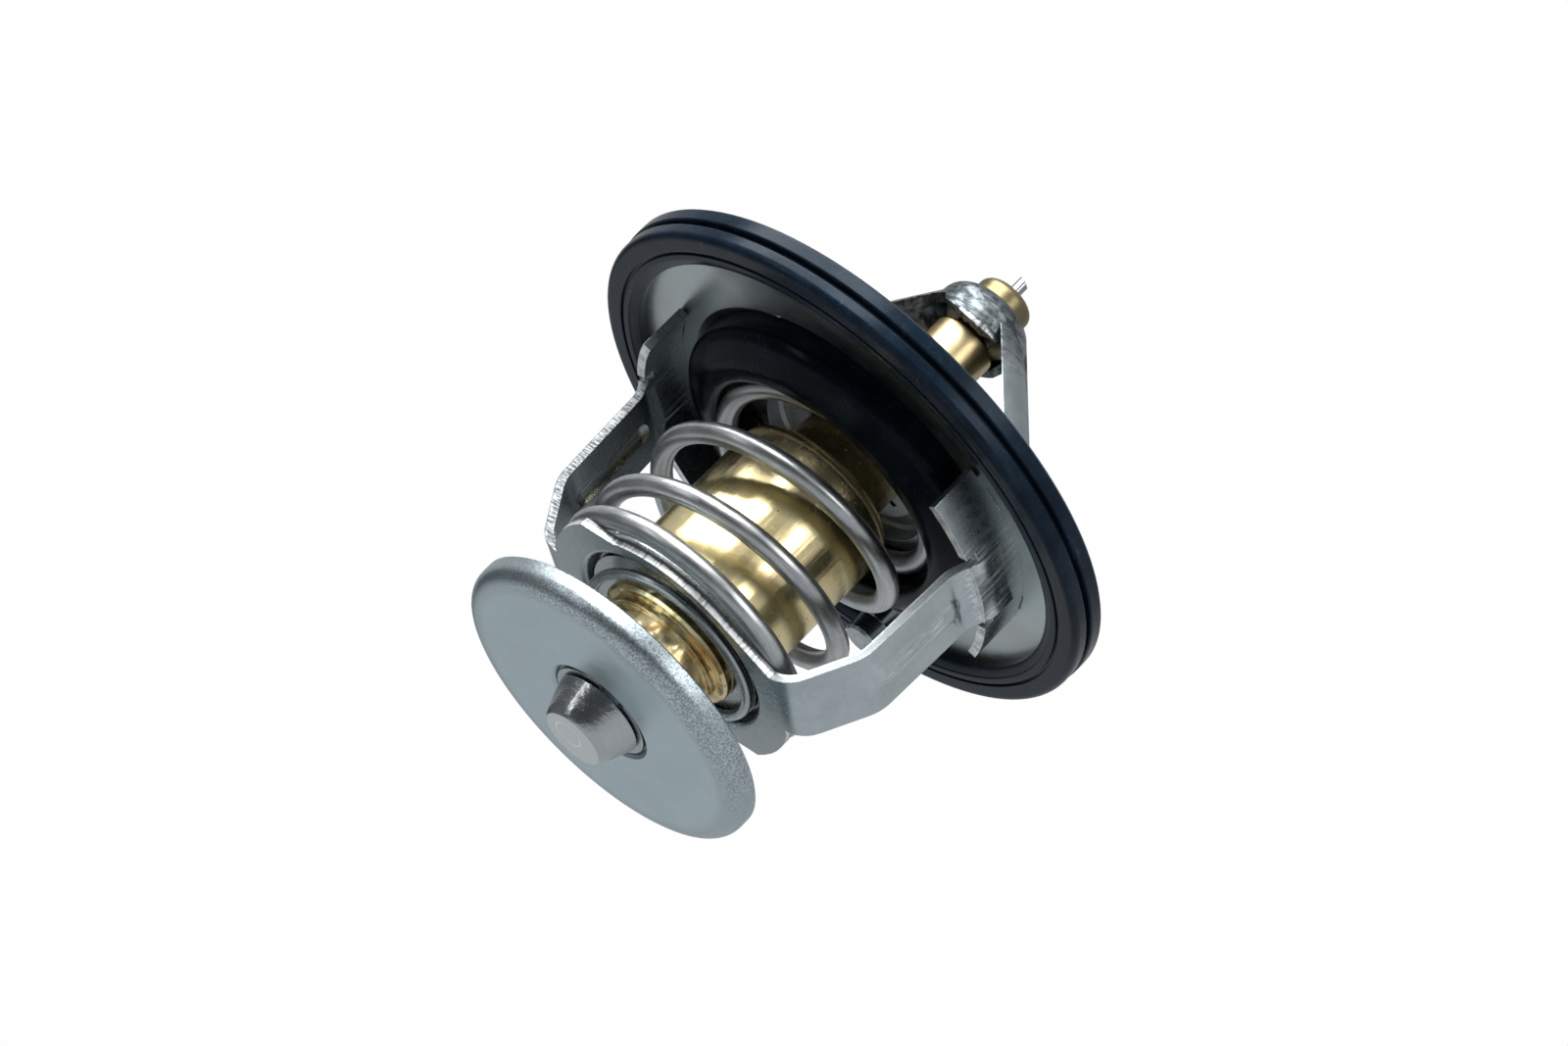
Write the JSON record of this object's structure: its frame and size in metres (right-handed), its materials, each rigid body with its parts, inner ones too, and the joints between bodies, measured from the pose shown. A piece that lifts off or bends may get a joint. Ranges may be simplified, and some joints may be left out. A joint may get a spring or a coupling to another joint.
{
  "type": "engine thermostat",
  "caption": "Engine coolant thermostat with a rubber-rimmed flange, brass wax element, coil springs, ribbed steel frame and bypass disc.",
  "frame": {"origin": "on the axis of the valve, in the middle of the back lip of the rim seal, which is the rim mount", "axes": "+Z along the axis from the bridge to the bypass disc, the way the valve opens; +X toward one arm of the lower frame"},
  "size_m": [0.0566, 0.0566, 0.0633],
  "materials": {
    "plate_steel": "satin",
    "frame_steel": "satin",
    "spring_steel": "satin",
    "pin_steel": "satin",
    "brass": "satin",
    "seal_rubber": "satin",
    "valve_rubber": "satin",
    "wax": "matte",
    "ptfe": "matte"
  },
  "bodies": {
    "flange": {"flange_plate": "plate_steel", "rim_seal": "seal_rubber", "upper_bridge": "frame_steel", "bridge_bush": "brass", "piston": "pin_steel", "lower_frame": "frame_steel", "main_spring": "spring_steel"},
    "element": {"valve_disc": "frame_steel", "valve_rubber": "valve_rubber", "valve_retainer": "spring_steel", "wax_cup": "brass", "guide_body": "brass", "rubber_sleeve": "valve_rubber", "wax_charge": "wax", "back_up_washer": "ptfe", "wiper_seal": "valve_rubber", "bypass_stem": "pin_steel", "snap_ring": "spring_steel", "spring_seat": "frame_steel", "bypass_spring": "spring_steel"},
    "bypass": {"bypass_disc": "plate_steel"},
    "jiggle": {"jiggle_pin": "pin_steel", "jiggle_weight": "pin_steel"}
  },
  "joints": [
    {"name": "element_slide", "type": "slide", "parent": "flange", "child": "element", "axis": [0, 0, 1], "range_m": [0, 0.0085], "stiffness_N_per_m": 400, "springref_m": -0.003, "deforming": ["main_spring"]},
    {"name": "bypass_slide", "type": "slide", "parent": "element", "child": "bypass", "axis": [0, 0, 1], "range_m": [-0.004, 0], "stiffness_N_per_m": 150, "springref_m": 0.003, "deforming": ["bypass_spring"]},
    {"name": "jiggle_slide", "type": "slide", "parent": "flange", "child": "jiggle", "axis": [0, 0, 1], "range_m": [-0.003, 0]}
  ]
}
